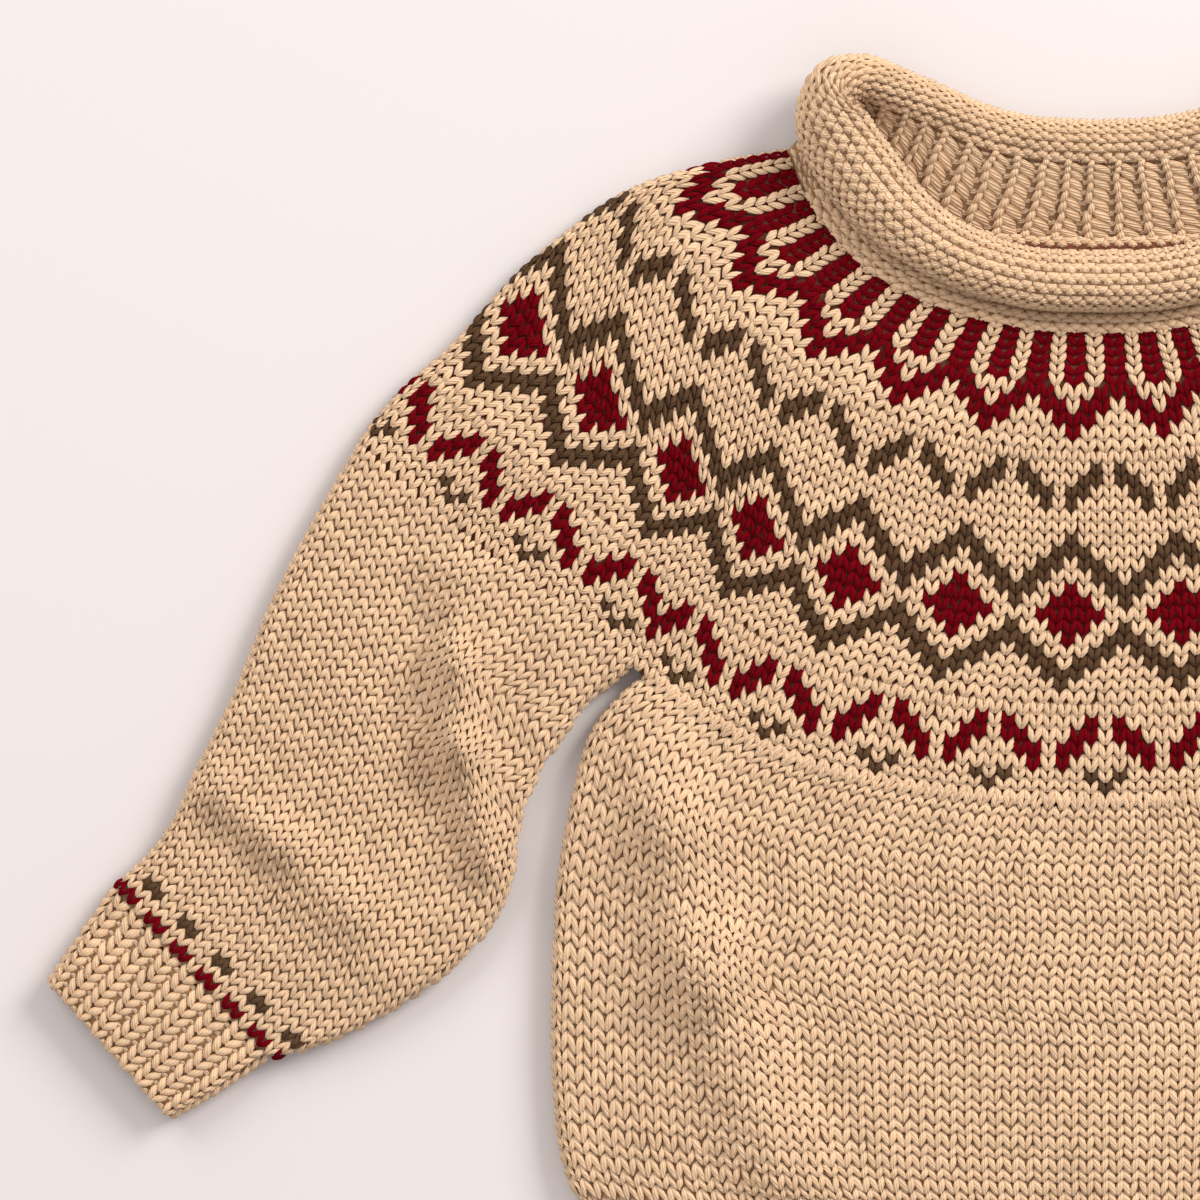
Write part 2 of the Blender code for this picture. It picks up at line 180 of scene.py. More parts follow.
SHOULDER = [  # fold over the shoulder and down the sleeve's outer side, neck to cuff
    (-93.6, 166.2), (-106.5, 164.1), (-120, 161.1), (-133.5, 157.2), (-144, 152.6),
    (-153, 146.8), (-162, 139.8), (-174, 130), (-184.5, 118.6), (-196, 106),
    (-209.5, 94.2), (-219, 83.4), (-228, 69), (-240, 48), (-250.5, 27),
    (-259.8, 4), (-268, -13), (-273.6, -24), (-278, -34.5), (-283.8, -43.5),
    (-291, -50.6), (-297.6, -56.6),
]
UNDER_SLEEVE = [  # fold down the sleeve's inner side, underarm to cuff
    (-138.9, 9.5), (-144.8, 5.2), (-152.4, -1.2), (-157.9, -8), (-163, -15.6),
    (-170.6, -29), (-174, -42), (-175, -51), (-177.2, -59), (-183.6, -70.5),
    (-195, -82.3), (-210, -92.8), (-225, -101), (-239, -106), (-249.6, -109),
]
SIDE = [  # fold down the body's side, underarm to hem rib
    (-137.1, 7.6), (-143.6, 2.4), (-149.6, -4.2), (-154, -11.6), (-157.5, -24),
    (-160.8, -39), (-163.3, -55), (-164.4, -75), (-165, -96), (-164.4, -117),
    (-162.6, -135), (-160, -144.6), (-156.6, -151.6), (-154.6, -155),
]
YOKE_FOOT_FRONT = [  # lowest round of the yoke on the front, shoulder fold to middle
    (-223.6, 76.2), (-210, 64.2), (-198, 53.8), (-175.5, 36.8), (-153, 20.2),
    (-138, 8.6), (-126, -0.6), (-102, -15), (-66, -25.5), (-33, -30), (0, -31.5),
]
YOKE_FOOT_BACK = YOKE_FOOT_FRONT[:6] + [
    (-126, 1), (-102, -9.6), (-66, -16.2), (-33, -18.6), (0, -19.2),
]
NECK_FRONT = [  # seam between yoke and neck rib
    (-93.6, 166.2), (-88.8, 153.4), (-80.8, 140.9), (-72, 131.4), (-60, 123.2),
    (-48.3, 118.2), (-36, 114.6), (-18.6, 111.4), (0, 110.4),
]
NECK_BACK = [
    (-93.6, 166.2), (-86.5, 159.6), (-75.6, 152.6), (-60, 146), (-42, 141.2),
    (-21, 138.6), (0, 138),
]
CUFF = [  # sections of the cuff: outer fold x, y, inner fold x, y
    (-297.9, -57, -250.2, -109.2),
    (-307.4, -70.8, -264.4, -118.6),
    (-316.6, -84.2, -278.6, -126.4),
]
HEM = [  # sections of the hem rib: x of its side fold, y there, how far its middle hangs lower
    (-154.4, -155.4, 5.6),
    (-152.4, -188.4, 5.1),
]
FOLDS = (SHOULDER, UNDER_SLEEVE, SIDE)
print("outline tables:", sum(len(table) for table in FOLDS), "places on the folds")

# %% Fold and roll tables
CREASES = [  # straight stretches of fold: x0, y0, x1, y1, height over the rest, width
    (-138, -6, -130, -36, 3.8, 12), (-130, -36, -119, -80, 6.4, 14),
    (-119, -80, -95, -140, 6.6, 15), (-112, -36, -100, -86, -1.7, 8),
    (-100, -86, -78, -136, -1.5, 9), (-26, -58, -4, -128, 1.5, 17), (-60, -70, -52, -120, -1, 14),
    (120, -34, 130, -86, 3.4, 12), (130, -86, 112, -136, 3.3, 13),
    (108, -40, 104, -104, -1.7, 10), (52, -52, 66, -124, 1.5, 16),
    (-190, 38, -193, 12, 4, 7), (-193, 12, -192, -14, 6.6, 7),
    (-192, -14, -183, -48, 6, 7), (-206, 30, -205, -24, -2.2, 7),
    (-205, -24, -197, -52, -2.1, 7), (-178, 10, -176, -30, -1, 8),
    (-276, -18, -246, -43, 3.6, 8), (-246, -43, -224, -62, 2.6, 10),
    (-224, -62, -212, -84, 1.8, 11), (-270, -36, -250, -52, -1.3, 6),
    (199, 26, 196, -22, 2.2, 8), (196, -22, 184, -52, 2, 8), (216, 30, 216, -20, -1, 11),
    (262, -14, 240, -38, 3, 10), (240, -38, 218, -70, 2.2, 12),
    (268, -34, 248, -52, -1.2, 7),
    (-150, 96, -186, 60, 1.2, 16), (152, 100, 184, 56, 1.1, 17), (-92, 44, -84, 4, 0.9, 18),
]
# Sections of the rolled edge: x, y, z of the centre, turn of its outward side, half width, half
# depth, and where the curl begins and ends, all angles in degrees.
ROLL = [
    (0, 125.1, 13, 0, 9.9, 7.6, -90, 204),
    (-18, 125.8, 13, 0, 9.9, 7.6, -90, 204),
    (-34.5, 129.6, 13.1, 2, 9.9, 7.6, -90, 203),
    (-49.3, 136.4, 13.4, 5, 10.5, 7.7, -90, 200),
    (-61.2, 145.2, 14, 9, 11.6, 7.8, -90, 196),
    (-70.8, 155.9, 15, 14, 12.7, 8, -91, 191),
    (-78, 166.2, 16.2, 22, 12.6, 8.2, -94, 187),
    (-81.6, 176.4, 16.8, 40, 11.6, 8.4, -99, 185),
    (-79.4, 184.2, 16, 70, 9.8, 8.3, -106, 186),
    (-71.2, 186.2, 13.8, 106, 8.3, 7.5, -114, 189),
    (-61, 182.8, 11.2, 133, 7.6, 7, -122, 192),
    (-50.4, 178.8, 9.2, 150, 7.2, 6.7, -129, 194),
    (-37.5, 173, 8, 157, 7.2, 6.6, -134, 194),
    (-23.7, 169.2, 7.5, 160, 7.2, 6.6, -136, 194),
    (0, 167.4, 7.3, 161, 7.2, 6.6, -136, 194),
]
NECK_FOLD_ROW = 7  # the section at the left end of the neck
print(len(CREASES), "creases,", len(ROLL), "sections of the roll")

# %% [markdown]
# A table becomes a smooth line, and a line is asked for places at fractions of its length.

# %% Lines
FINE = 400  # places on a line that is asked for exact ones


def unit(a):
    """The same directions, one long."""
    return a / np.linalg.norm(a, axis=-1, keepdims=True)


def travelled(line):
    """How far along a line each of its points is."""
    return np.concatenate([[0], np.cumsum(np.linalg.norm(np.diff(line, axis=0), axis=1))])


def hermite(f, start, leaving, end, arriving, span=1):
    """From start to end, with the slope to leave with and the one to arrive with."""
    return ((2 * f**3 - 3 * f**2 + 1) * start + (f**3 - 2 * f**2 + f) * span * leaving
            + (3 * f**2 - 2 * f**3) * end + (f**3 - f**2) * span * arriving)


def smooth(points, count=160):
    """A smooth line through the points, as evenly spaced places along it."""
    p = np.asarray(points, float)
    if len(p) < 3:
        s = np.linspace(0, 1, count)[:, None]
        return p[0] * (1 - s) + p[-1] * s
    at = travelled(p[:, :2])
    slope = np.gradient(p, at, axis=0)
    s = np.linspace(0, at[-1], count * 3)
    k = np.clip(np.searchsorted(at, s, side="right") - 1, 0, len(p) - 2)
    h = (at[k + 1] - at[k])[:, None]
    f = ((s - at[k]) / h[:, 0])[:, None]
    line = hermite(f, p[k], slope[k], p[k + 1], slope[k + 1], h)
    return spread(line, np.linspace(0, 1, count))


def spread(line, places):
    """Points of a line at these fractions of its length."""
    gone = travelled(line[:, :3])
    at = np.asarray(places) * gone[-1]
    return np.stack([np.interp(at, gone, line[:, c]) for c in range(line.shape[1])], axis=1)


def mirrored(line):
    return np.asarray(line) * [-1, 1]


def whole(half, count=320):
    """A line from fold to fold, from its half that ends in the middle."""
    left = smooth(half)
    return spread(np.concatenate([left, mirrored(left)[::-1][1:]]), np.linspace(0, 1, count))


def long(line):
    """Length of a line, in mm."""
    return np.linalg.norm(np.diff(line, axis=0), axis=1).sum()


print("shoulder fold:", round(float(long(smooth(SHOULDER)))), "mm")

# %% [markdown]
# The height of the front comes from the folds: low at a side fold, a little higher away from it,
# and higher or lower along each crease. A round of cloth goes over the top, round the fold and
# back underneath, where it lies on the floor.

# %% Heights and rounds
def height_of_front(xy):
    """Height of the front's outer face over the floor."""
    near = np.full(len(xy), 1e9)
    for table in FOLDS:
        for line in (np.array(table), mirrored(table)):
            for a, b in zip(line[:-1], line[1:]):
                near = np.minimum(near, distance(xy, a, b))
    height = FOLD_HEIGHT + PUFF * (1 - np.exp(-((near / PUFF_REACH) ** 2)))
    for *ends, rise, width in CREASES:
        away = distance(xy, *np.array(ends, float).reshape(2, 2))
        height = height + rise * np.exp(-((away / width) ** 2)) * np.minimum(1, near / CREASE_FADE)
    lowest = FOLD_HEIGHT - DIP
    return lowest + np.logaddexp(0, (height - lowest) * BLEND) / BLEND


def distance(xy, a, b):
    """Distances of places from the straight stretch between a and b."""
    run = b - a
    f = np.clip(((xy - a) @ run) / (run @ run), 0, 1)
    return np.linalg.norm(xy - a - f[:, None] * run, axis=1)


TURN = np.radians(np.arange(7.5, 90, 7.5))  # steps round a fold
FLAT = 240  # steps between the folds


def lay_round(front, back, half):
    """A round of flattened cloth as 2 * half places, evenly spaced on the front and on the back."""
    radius = FOLD_HEIGHT / 2
    edge = radius * (1 - np.cos(TURN))
    sides = []
    for line, side in ((front, 1), (back, -1)):
        length = long(line)
        gone = np.concatenate([[0], edge, np.linspace(radius, length - radius, FLAT),
                               length - edge[::-1], [length]])
        rise = np.concatenate([[0], np.sin(TURN), np.ones(FLAT), np.sin(TURN)[::-1], [0]]) * side
        plan = spread(line, gone / length)
        middle = height_of_front(plan) / 2 if side == 1 else np.full(len(plan), radius)
        middle[[0, -1]] = radius
        solid = np.column_stack([plan, middle * (1 + rise)])
        if side == -1:
            solid = solid[::-1]
        sides.append(spread(solid, np.arange(half) / half))
    return np.concatenate(sides)


def outward(grid, down=None):
    """Outward directions at the points of a grid of rounds, neck side first."""
    across = np.roll(grid, -1, axis=1) - np.roll(grid, 1, axis=1)
    if down is None:
        down = np.gradient(grid, axis=0)
    return unit(np.cross(down, across))


chest = height_of_front(np.array([[0.0, 40.0]]))[0]
print("height in the middle of the chest:", chest.round(2), "mm")

# %% [markdown]
# ## A cloth to lay stitches on
# A knitter counts stitches round and rows along. `Cloth` turns such a place into a point in space:
# w goes round from the left fold (0) over the front (1) to the right fold (2) and back by the
# underside, v goes down from the neck side (0) to the other end (1), and h is the height over the
# surface. Every stitch, rib and lining below is placed through it.

# %% Cloth
class Cloth:
    def __init__(self, grid, normal=None):
        self.grid = np.asarray(grid)
        self.normal = outward(self.grid) if normal is None else normal

    def at(self, w, v, h):
        """Places in metres, in the frame."""
        rows, points = self.grid.shape[:2]
        down = v * (rows - 1)
        i = np.clip(np.floor(down).astype(int), 0, rows - 2)
        f = (down - i)[..., None]
        turn = (w % 4) / 4 * points
        j = np.floor(turn).astype(int)
        g = (turn - j)[..., None]
        j, k = j % points, (j + 1) % points
        mixed = []
        for table, lead in ((self.grid, f), (self.normal, np.clip(f, 0, 1))):
            upper = table[i, j] * (1 - g) + table[i, k] * g
            lower = table[i + 1, j] * (1 - g) + table[i + 1, k] * g
            mixed.append(upper * (1 - lead) + lower * lead)
        place, normal = mixed
        return (place + unit(normal) * h[..., None] - ORIGIN) * MM

    def round_length(self, v):
        """Length round the cloth at v, in mm."""
        lengths = np.linalg.norm(np.roll(self.grid, -1, axis=1) - self.grid, axis=2).sum(axis=1)
        return np.interp(v, np.linspace(0, 1, len(self.grid)), lengths)

    def length(self):
        """Mean length from the neck side to the other end, in mm."""
        return np.linalg.norm(np.diff(self.grid, axis=0), axis=2).sum(axis=0).mean()


ROUNDS = 41  # rounds of a cloth's grid
SHORT = 7  # and of a cuff's or the hem's
WIDE, SLIM, CUFF_WIDE = 420, 240, 160  # places on the front: body and yoke, sleeve, cuff
SHOULDER_LINE = smooth(SHOULDER, FINE)
YOKE_END = np.argmin(np.linalg.norm(SHOULDER_LINE - YOKE_FOOT_FRONT[0], axis=1))


def rounds(make, count, *hand):
    return [make(f, *hand) for f in np.linspace(0, 1, count)]


def yoke_round(v):
    """A round of the yoke, from the neck (0) to its foot (1)."""
    halves = []
    for neck, foot in ((NECK_FRONT, YOKE_FOOT_FRONT), (NECK_BACK, YOKE_FOOT_BACK)):
        neck, foot = whole(neck), whole(foot)
        t = np.linspace(0, 1, len(neck))[:, None]
        left = spread(SHOULDER_LINE, [v * (YOKE_END / (FINE - 1))])[0]
        straight = (1 - v) * neck + v * foot
        right = mirrored(left)
        pulled = (1 - t) ** 3 * (left - straight[0]), t**3 * (right - straight[-1])
        halves.append(straight + pulled[0] + pulled[1])
    return lay_round(*halves, WIDE)


yoke_cloth = Cloth(rounds(yoke_round, ROUNDS))
print("yoke:", yoke_cloth.round_length(0).round(), "mm round at the neck,",
      yoke_cloth.round_length(1).round(), "mm at its foot")

# %% Body, sleeves, cuffs and hem as cloths
TOP_HALF = 137  # half the body's width at the yoke


def body_round(f):
    """A round of the body, from the yoke (0) to the hem rib (1)."""
    side = spread(smooth(SIDE, FINE), [f])[0]
    halves = []
    for table in (YOKE_FOOT_FRONT, YOKE_FOOT_BACK):
        line = whole(table)
        top = line[np.abs(line[:, 0]) < -SIDE[0][0]]
        x = np.linspace(-1, 1, 161)
        hang = np.interp(x * TOP_HALF, top[:, 0], top[:, 1]) - SIDE[0][1] - SEAM * 2
        y = side[1] + hang * (1 - f) ** 1.15 - HEM[0][2] * (1 - x**2) * f
        y[[0, -1]] = side[1]
        halves.append(np.column_stack([x * -side[0], y]))
    return lay_round(*halves, WIDE)


def sleeve_round(f, hand):
    """A round of a sleeve; hand is 1 at negative X and -1 at positive X."""
    outer = spread(SHOULDER_LINE[YOKE_END:], [f])[0]
    inner = spread(smooth(UNDER_SLEEVE, FINE), [f])[0]
    s = np.linspace(0, 1, 121)[:, None]
    foot = whole(YOKE_FOOT_FRONT)
    part = foot[foot[:, 0] < UNDER_SLEEVE[0][0]]
    part = spread(np.concatenate([part[:1], part, [UNDER_SLEEVE[0]]]), s[:, 0])
    bow = part - (part[0] * (1 - s) + part[-1] * s)
    line = outer * (1 - s) + inner * s + bow * (1 - f)
    return tube(line, SLIM, hand)


def cuff_round(f, hand):
    rows = np.array(CUFF)
    ends = np.array([np.interp(f, [0, 0.5, 1], column) for column in rows.T])
    s = np.linspace(0, 1, 60)[:, None]
    return tube(ends[:2] * (1 - s) + ends[2:] * s, CUFF_WIDE, hand)


def hem_round(f):
    x = np.linspace(-1, 1, 161)
    side_x, side_y, hang = (np.interp(f, [0, 1], column) for column in zip(*HEM))
    return tube(np.column_stack([x * -side_x, side_y - hang * (1 - x**2)]), WIDE)


def tube(line, half, hand=1):
    """A round with the same line on the front and on the back."""
    line = line if hand == 1 else mirrored(line)[::-1]
    return lay_round(line, line, half)


def evened(grid):
    """The same surface, with rounds at even steps down each column."""
    grid = np.array(grid)
    steps = np.linspace(0, 1, len(grid))
    return np.stack([spread(grid[:, c], steps) for c in range(grid.shape[1])], axis=1)


HANDS = {"left": 1, "right": -1}
body_cloth = Cloth(evened(rounds(body_round, ROUNDS)))
hem_cloth = Cloth(rounds(hem_round, SHORT))
sleeve_cloth = {side: Cloth(rounds(sleeve_round, ROUNDS, hand)) for side, hand in HANDS.items()}
cuff_cloth = {side: Cloth(rounds(cuff_round, SHORT, hand)) for side, hand in HANDS.items()}
print("body:", body_cloth.round_length(0.5).round(), "mm round; cuff:",
      cuff_cloth["left"].round_length(1).round())

# %% [markdown]
# The rolled edge is a curl: its cloth leaves the neck, turns outwards and comes back over
# itself. Its sections go round the neck, and each has its own centre, lean and opening. The neck
# rib joins it to the inner face of the yoke.

# %% Roll and neck rib as cloths
FRONT_STEPS, BACK_STEPS = np.linspace(0, 1, 121), np.linspace(0, 1, 105)
LEAN = 1.3  # draws the root's steps at the back towards the fold


def roll_sections():
    """Sections of the curl round the neck, from the front middle by negative X."""
    half = smooth(ROLL, FINE)
    fold = np.argmin(np.linalg.norm(half[:, :3] - ROLL[NECK_FOLD_ROW][:3], axis=1))
    return closed([*spread(half[:fold + 1], FRONT_STEPS), *spread(half[fold:], BACK_STEPS)[1:]])


def closed(half):
    """A ring, from its half at negative X."""
    half = np.array(half)
    other = half[::-1][1:-1].copy()
    other[:, 0] *= -1
    return np.concatenate([half, other])


def curl(rows, degrees):
    """Places on the curl's outer face, at one angle a section."""
    centre = rows[:, :3]
    heading = np.roll(centre, -1, axis=0) - np.roll(centre, 1, axis=0)
    heading[:, 2] = 0
    heading = unit(heading)
    up = np.array([0.0, 0.0, 1.0])
    turn = np.radians(rows[:, 3])[:, None]
    out = np.cos(turn) * up + np.sin(turn) * np.cross(up, heading)
    along = np.cross(heading, out)
    a = np.maximum(np.radians(degrees), np.radians(-90))
    shrink = 1 - 0.16 * np.clip((degrees - 150) / 60, 0, 1)  # the free edge turns in further
    b = (np.cos(a) * shrink - np.maximum(0, -90 - degrees) / 57.3) * rows[:, 4]
    o = np.sin(a) * shrink * rows[:, 5]
    return centre + along * b[:, None] + out * o[:, None]


def neck_root():
    """Places on the yoke's inner face at the neck, in the same steps as the curl's sections."""
    fine = np.array([yoke_round(v) for v in (0.0, 0.01)])
    inner = (fine - outward(fine) * YOKE_WALL)[0]
    middle_front = len(inner) // 4
    on_front = inner[:middle_front + 1][::-1]
    on_back = np.concatenate([inner[3 * middle_front:], inner[:1]])[::-1]
    half = np.array([*spread(on_front, FRONT_STEPS), *spread(on_back, BACK_STEPS**LEAN)[1:]])
    half[[0, -1], 0] = 0
    return closed(half)


sections = roll_sections()
steps = np.linspace(0, 1, 31)
angles = [sections[:, 6] + (sections[:, 7] - sections[:, 6]) * s for s in steps]
turning = [curl(sections, a + 1.5) - curl(sections, a - 1.5) for a in angles]
roll_grid = np.array([curl(sections, a) for a in angles])
roll_out = outward(roll_grid, np.array(turning))
away = roll_grid[15] - sections[:, :3]
if np.sum((away + roll_out[15]) ** 2) < np.sum(away**2):
    roll_out = -roll_out
roll_cloth = Cloth(roll_grid, normal=roll_out)

root = neck_root()
top = curl(sections, sections[:, 6] - 6)
lead = curl(sections, sections[:, 6] - 4) - curl(sections, sections[:, 6] - 8)
reach = np.linalg.norm(top - root, axis=1, keepdims=True)
lead = unit(lead) * reach * 0.6
leave = unit((top - root) * [1, 1, 0.35]) * reach * 0.6
heights = np.linspace(0, 1, 17)
band = np.array([hermite(f, root, leave, top, lead) for f in heights])
rising = np.array([(6 * f**2 - 6 * f) * (root - top) + (3 * f**2 - 4 * f + 1) * leave
                   + (3 * f**2 - 2 * f) * lead for f in heights])
face = outward(band, rising)
if face[8, 0, 2] < 0:
    face = -face
neck_inside = Cloth(band, normal=-face)
neck_outside = Cloth(band + face * BAND_WALL, normal=face)
print("rolled edge:", roll_cloth.round_length(0.5).round(), "mm round,",
      roll_cloth.length().round(), "mm along the curl; neck rib:", neck_inside.length().round(), "mm")

# %% [markdown]
# ## Yarn
# The yarn is four soft cotton plies twisted together, with a dry, slightly fuzzy face. Its colour
# travels with each stitch as a point attribute, because the pattern changes colour stitch by
# stitch. The plies follow the stitch's own UV map, measured in millimetres along and across the
# strand: a wave turned by 22 degrees gives the twist, as bump and as painted shade in the grooves.
# The strands' edges get painted shade too, warmer and darker. Cotton hardly shines, so roughness
# is high and the specular level low.

# %% Yarn materials
BEIGE = (0.672, 0.472, 0.306)
RED = (0.128, 0.0008, 0.0042)
OLIVE = (0.086, 0.048, 0.025)
# painted shade: towards a strand's edges its colour is painted warmer and darker
EDGE_SHADE = (0.95, 0.85, 0.75, 1)  # light that has been between strands is warmer
PLY, TWIST = 0.75, 22  # width of a ply in mm, and its turn in degrees
# painted shade: GROOVE is how much darker the colour is painted in the plies' grooves
GROOVE, GROOVE_DEPTH = 0.12, 0.18  # how dark a groove is, and how deep in mm


def node(material, kind, out, *operands, **values):
    """An output of a new node, fed with numbers or outputs; small letters name settings."""
    made = material.node_tree.nodes.new("ShaderNode" + kind)
    for name in [name for name in values if name.islower()]:
        setattr(made, name, values.pop(name))
    for place, value in enumerate(operands):
        feed(material, made.inputs[place], value)
    for name, value in values.items():
        feed(material, made.inputs[name.replace("_", " ")], value)
    return made.outputs[out]


def feed(material, socket, value):
    if isinstance(value, bpy.types.NodeSocket):
        material.node_tree.links.new(value, socket)
    else:
        socket.default_value = value


def ramp(material, value, *stops):
    """The colour for a value between two stops, each a place and a colour."""
    made = material.node_tree.nodes.new("ShaderNodeValToRGB")
    for element, (place, colour) in zip(made.color_ramp.elements, stops):
        element.position, element.color = place, colour
    feed(material, made.inputs["Fac"], value)
    return made.outputs["Color"]


def yarn_material(name):
    m, shader = new_material(name, 0.85, 0.03)
    colour = node(m, "Attribute", "Color", attribute_name="yarn")
    strand = node(m, "UVMap", "UV", uv_map="strand")
    place = node(m, "TexCoord", "Object")
    turned = node(m, "Mapping", "Vector", Vector=strand, Rotation=(0, 0, np.radians(TWIST)))
    wave = node(m, "TexWave", "Fac", Vector=turned, Scale=0.3142 / PLY,
                Distortion=0.9, Detail=1.0, Detail_Scale=2.0)
    fuzz = node(m, "TexNoise", "Fac", Vector=place, Scale=2600, Detail=3)
    cloud = node(m, "TexNoise", "Fac", Vector=place, Scale=160, Detail=2)
    # painted shade: the colour is darker in the grooves between the plies
    dark = node(m, "MapRange", "Result", Value=wave, To_Min=1 - GROOVE, To_Max=1.06)
    mottle = node(m, "MapRange", "Result", Value=cloud,
                  From_Min=0.3, From_Max=0.7, To_Min=0.94, To_Max=1.06)
    both = node(m, "Math", "Value", dark, mottle, operation="MULTIPLY")
    tint = node(m, "VectorMath", "Vector", colour, Scale=both, operation="SCALE")
    # painted shade: the colour turns warmer and darker towards the strand's edges
    across = node(m, "SeparateXYZ", "X", strand)
    away = node(m, "Math", "Value", across, operation="ABSOLUTE")
    edge = ramp(m, away, (0.45, (1, 1, 1, 1)), (1.0, EDGE_SHADE))
    edge_shaded = node(m, "VectorMath", "Vector", tint, edge, operation="MULTIPLY")
    height = node(m, "Math", "Value", fuzz, 0.35, wave, operation="MULTIPLY_ADD")
    feed(m, shader.inputs["Base Color"], edge_shaded)
    feed(m, shader.inputs["Normal"],
         node(m, "Bump", "Normal", Height=height, Strength=0.9, Distance=GROOVE_DEPTH * MM))
    return m


def lining_material(name, colour):
    """The cloth seen deep between the stitches, its colour painted darker than the yarn as shade."""
    m, shader = new_material(name, 0.95, 0.05)
    grain = node(m, "TexNoise", "Fac", Vector=node(m, "TexCoord", "Object"), Scale=700)
    shades = ramp(m, grain, (0.35, (*[c * 0.7 for c in colour], 1)), (0.65, (*colour, 1)))
    feed(m, shader.inputs["Base Color"], shades)
    feed(m, shader.inputs["Normal"], node(m, "Bump", "Normal", Height=grain, Distance=0.3 * MM))
    return m


yarn = yarn_material("cotton_yarn")
# painted shade: the linings are darker than the yarn, for the shade deep between the stitches, and
# darker still under the ribs
lining = lining_material("knit_depth_shade", (0.40, 0.235, 0.135))
rib_lining = lining_material("rib_depth_shade", (0.30, 0.170, 0.092))
floats_in_shade = lining_material("yoke_depth_shade", (0.15, 0.05, 0.028))  # the yarns carried along behind, their colour painted darker as shade
print("materials:", [m.name for m in (yarn, lining, rib_lining, floats_in_shade)])

# %% [markdown]
# ## One stitch
# A knit stitch shows as a V of two plump legs. Each leg is a small grid bent along a path, low at
# both ends, where it dives under its neighbours, and low along its edges. A few faces are enough,
# because smooth shading rounds them and the plies are in the material. A purl stitch shows as an
# arc, so its path is bent the other way. Paths are in columns and rows, heights in millimetres.

# %% Strands
def strand(shape, uv, path, gauge, along=4, across=2, drop=1.0):
    """A short length of yarn: path rows are column, row, height, half width in mm."""
    made = bmesh.ops.create_grid(shape, x_segments=along, y_segments=across, size=0.5)
    path = np.array(path, float)
    knots = np.linspace(0, 1, len(path))
    fine = np.linspace(0, 1, 41)
    curve = np.stack([np.interp(fine, knots, path[:, c]) for c in range(4)], axis=1)
    for _ in range(6):  # rounds the corners of the path
        curve[1:-1] = (curve[:-2] + 2 * curve[1:-1] + curve[2:]) / 4
    mm = curve[:, :2] * gauge
    heading = unit(np.gradient(mm, axis=0))
    gone = travelled(mm)
    for vert in made["verts"]:
        s, t = vert.co.x + 0.5, vert.co.y * 2
        here = [np.interp(s, fine, column) for column in curve.T]
        head = [np.interp(s, fine, column) for column in heading.T]
        side = -t * here[3]
        place = np.array(here[:2]) + np.array([-head[1], head[0]]) * side / gauge
        for loop in vert.link_loops:
            loop[uv].uv = (side, np.interp(s, fine, gone))
        vert.co = (*place, here[2] - drop * t * t)


def stitch_mesh(name, strands, gauge, **kind):
    """One stitch of several strands, as a mesh."""
    shape = bmesh.new()
    uv = shape.loops.layers.uv.new("strand")
    for path in strands:
        strand(shape, uv, path, np.array(gauge), **kind)
    for f in shape.faces:
        f.smooth = True
    bmesh.ops.recalc_face_normals(shape, faces=shape.faces)
    for f in shape.faces:
        if f.normal.z < 0:
            f.normal_flip()
    return as_mesh(name, shape)


def mirror_path(path):
    return [(-a, b, h, r) for a, b, h, r in path]


LEG = [(0.05, 0, -0.45, 0.42), (0.15, 0.31, 0, 0.84), (0.27, 0.65, 0.05, 1.06),
       (0.38, 0.98, -0.35, 0.94), (0.46, 1.3, -1.3, 0.5)]
knit_stitch = stitch_mesh("knit_stitch", [LEG, mirror_path(LEG)], (4.7, 3.5), drop=0.85)
print("a knit stitch has", sum(len(p.vertices) - 2 for p in knit_stitch.polygons), "triangles")

# %% [markdown]
# ## Laying stitches
# An Array modifier with no offset makes one mesh of all copies of a stitch, lying on each other.
# Each copy is then moved to its own column and row, made a little larger or smaller, and laid on
# the cloth. Hand knitting is never quite even, so places and sizes wander slightly.

# %% Lay
WANDER = 0.035  # how far a stitch strays, in columns and rows
SIZES, DEPTHS, TONES = WANDER * 1.6, 0.07, 0.035  # how much size, height in mm and tone vary
LOW, LOWEST, RAISED, PRESS = 0.3, 0.5, 0.03, 0.3375  # from -LOWEST..LOW mm to RAISED..LOW mm


